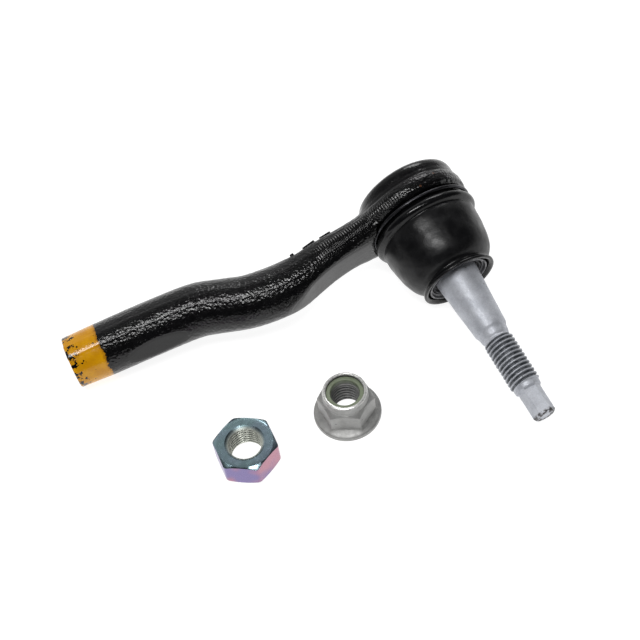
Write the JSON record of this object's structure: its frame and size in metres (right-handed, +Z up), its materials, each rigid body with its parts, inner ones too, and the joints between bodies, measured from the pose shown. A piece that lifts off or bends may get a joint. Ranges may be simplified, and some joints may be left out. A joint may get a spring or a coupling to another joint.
{
  "type": "tie rod end",
  "caption": "Outer tie rod end: forged S-bent arm with threaded end, ball stud in a booted socket, and loose flanged lock nut and jam nut.",
  "frame": {"origin": "the middle of the whole set's footprint on the bench it lies on", "axes": "+Z is up from the bench; the arm's threaded end points along -X, seen from above; the ball stud points roughly along -Y"},
  "size_m": [0.171, 0.1124, 0.0454],
  "materials": {
    "forging_black_paint": "glossy black paint over a grainy forged skin, with a chipped yellow paint band at the threaded end",
    "stud_zinc_flake": "matte silver-grey zinc flake coating with small dark specks",
    "bearing_polymer": "natural acetal, smooth",
    "spring_steel": "oiled dark spring steel",
    "plate_steel": "pressed steel, black painted",
    "seal_rubber": "matte black rubber",
    "boot_rubber": "satin black rubber with soft sheen",
    "ring_black_steel": "black coated spring wire",
    "insert_steel": "dark grey pressed steel",
    "nut_zinc_flake": "matte silver-grey zinc flake, bright rim on the collar",
    "nylon_olive": "olive green nylon",
    "nut_blue_zinc": "bright blue zinc plating with a faint iridescent tint"
  },
  "bodies": {
    "housing": {"forged_housing": "forging_black_paint", "upper_bearing": "bearing_polymer", "pressure_cup": "bearing_polymer", "preload_spring": "spring_steel", "closure_plate": "plate_steel", "closure_seal": "seal_rubber", "boot_clamp_ring": "ring_black_steel"},
    "boot": {"dust_boot": "boot_rubber"},
    "boot_collar": {"boot_lip_insert": "insert_steel", "boot_garter_spring": "spring_steel"},
    "stud": {"ball_stud": "stud_zinc_flake"},
    "loose_lock_nut": {"flange_nut": "nut_zinc_flake", "nylon_insert": "nylon_olive"},
    "loose_jam_nut": {"jam_nut": "nut_blue_zinc"}
  },
  "joints": [
    {"name": "stud_swing_along_arm", "type": "hinge", "parent": "housing", "child": "boot", "pos_m": [0.06366, 0.03321, 0.02183], "axis": [0.0847, 0.2012, -0.9759], "range_deg": [-18, 18], "deforming": ["dust_boot"]},
    {"name": "stud_swing_across_arm", "type": "hinge", "parent": "boot", "child": "boot_collar", "pos_m": [0.06366, 0.03321, 0.02183], "axis": [-0.9912, -0.0834, -0.1032], "range_deg": [-18, 18], "deforming": ["dust_boot"]},
    {"name": "stud_spin", "type": "hinge", "parent": "boot_collar", "child": "stud", "pos_m": [0.06366, 0.03321, 0.02183], "axis": [0.1022, -0.976, -0.1923], "continuous": true},
    {"name": "lock_nut_lift", "type": "slide", "parent": "housing", "child": "loose_lock_nut", "axis": [0, 0, 1], "range_m": [0, 0.04]},
    {"name": "jam_nut_lift", "type": "slide", "parent": "housing", "child": "loose_jam_nut", "axis": [0, 0, 1], "range_m": [0, 0.04]}
  ]
}
